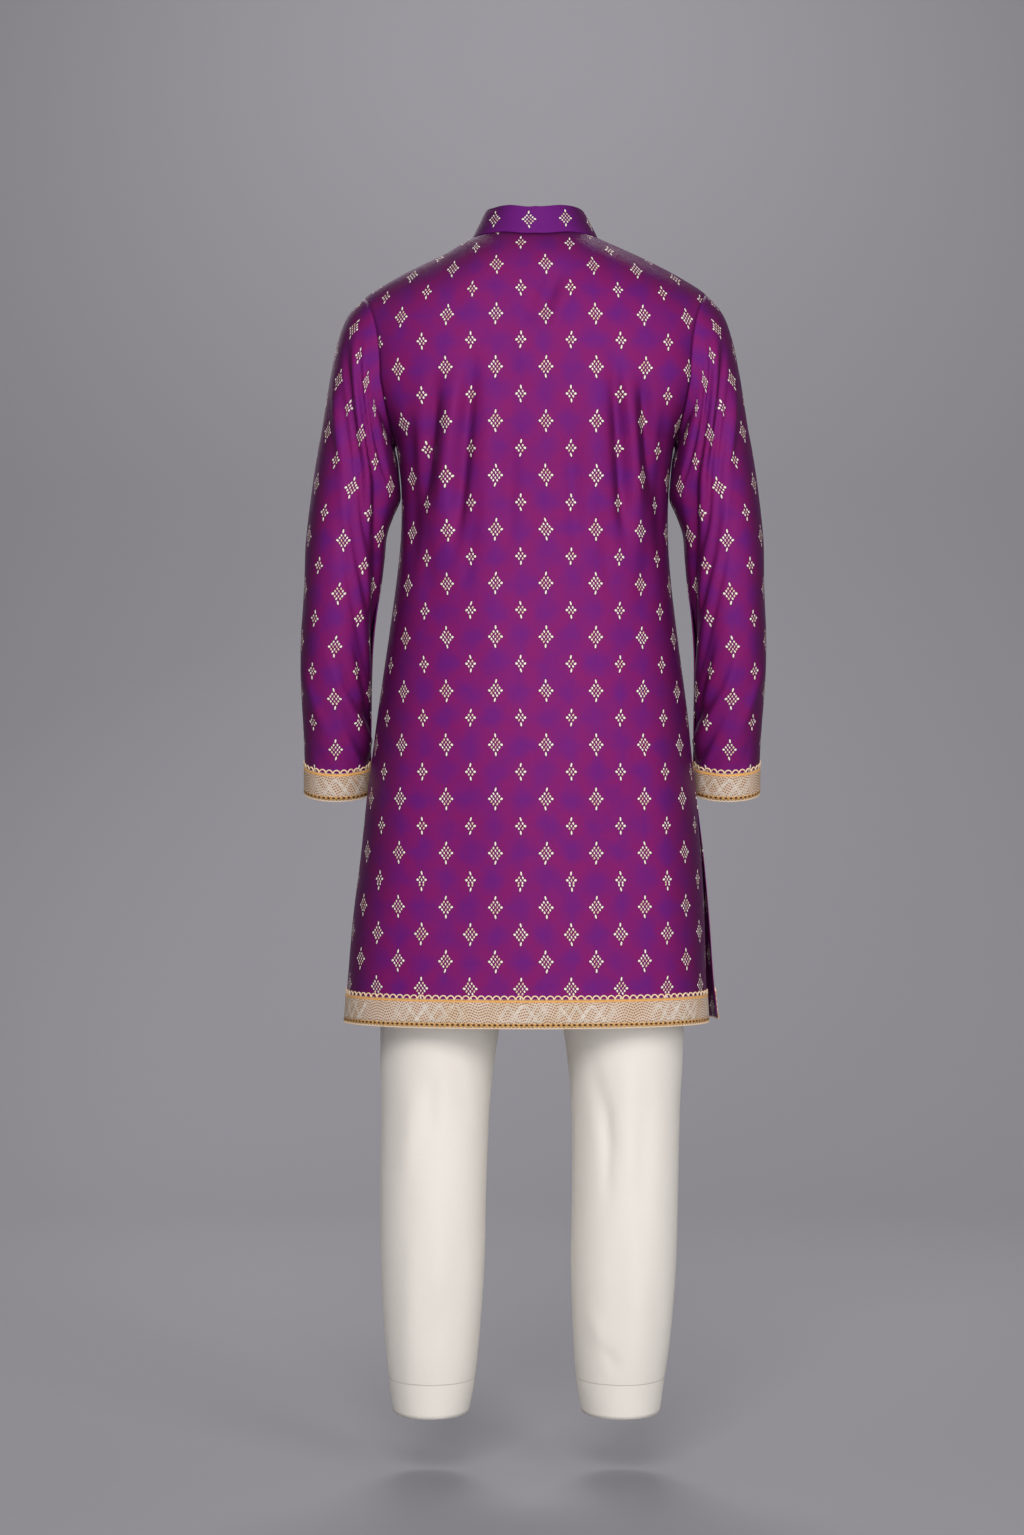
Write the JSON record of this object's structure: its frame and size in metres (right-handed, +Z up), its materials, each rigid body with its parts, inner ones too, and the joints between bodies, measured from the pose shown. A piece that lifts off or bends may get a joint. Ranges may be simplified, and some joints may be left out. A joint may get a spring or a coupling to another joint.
{
  "type": "kurta set",
  "caption": "Worn kurta with stand collar, long sleeves, side slits and woven gold borders, over straight trousers, hollow and open at neck, cuffs and hems.",
  "frame": {"origin": "midway between the points where the shoulder seams meet the collar", "axes": "+Z up, -Y towards the front of the garment, +X towards the wearer's left"},
  "size_m": [0.5894, 0.2604, 1.5147],
  "materials": {
    "silk": "changeable purple and magenta silk blend, fine twill, with a small woven repeat in cream and gold",
    "gold_border": "woven beige and gold brocade lace with looped edges",
    "trouser_cotton": "matt ivory cotton twill",
    "button": "polished domed shank buttons"
  },
  "bodies": {
    "root": {"kurta_back": "silk", "kurta_front": "silk", "sleeve_left": "silk", "sleeve_right": "silk", "collar": "silk", "placket": "silk", "hem_border_back": "gold_border", "hem_border_front": "gold_border", "cuff_border_left": "gold_border", "cuff_border_right": "gold_border", "button_1": "button", "button_2": "button", "button_3": "button", "button_4": "button", "trouser_left_back": "trouser_cotton", "trouser_left_front": "trouser_cotton", "trouser_right_back": "trouser_cotton", "trouser_right_front": "trouser_cotton", "waistband": "trouser_cotton"}
  },
  "joints": []
}
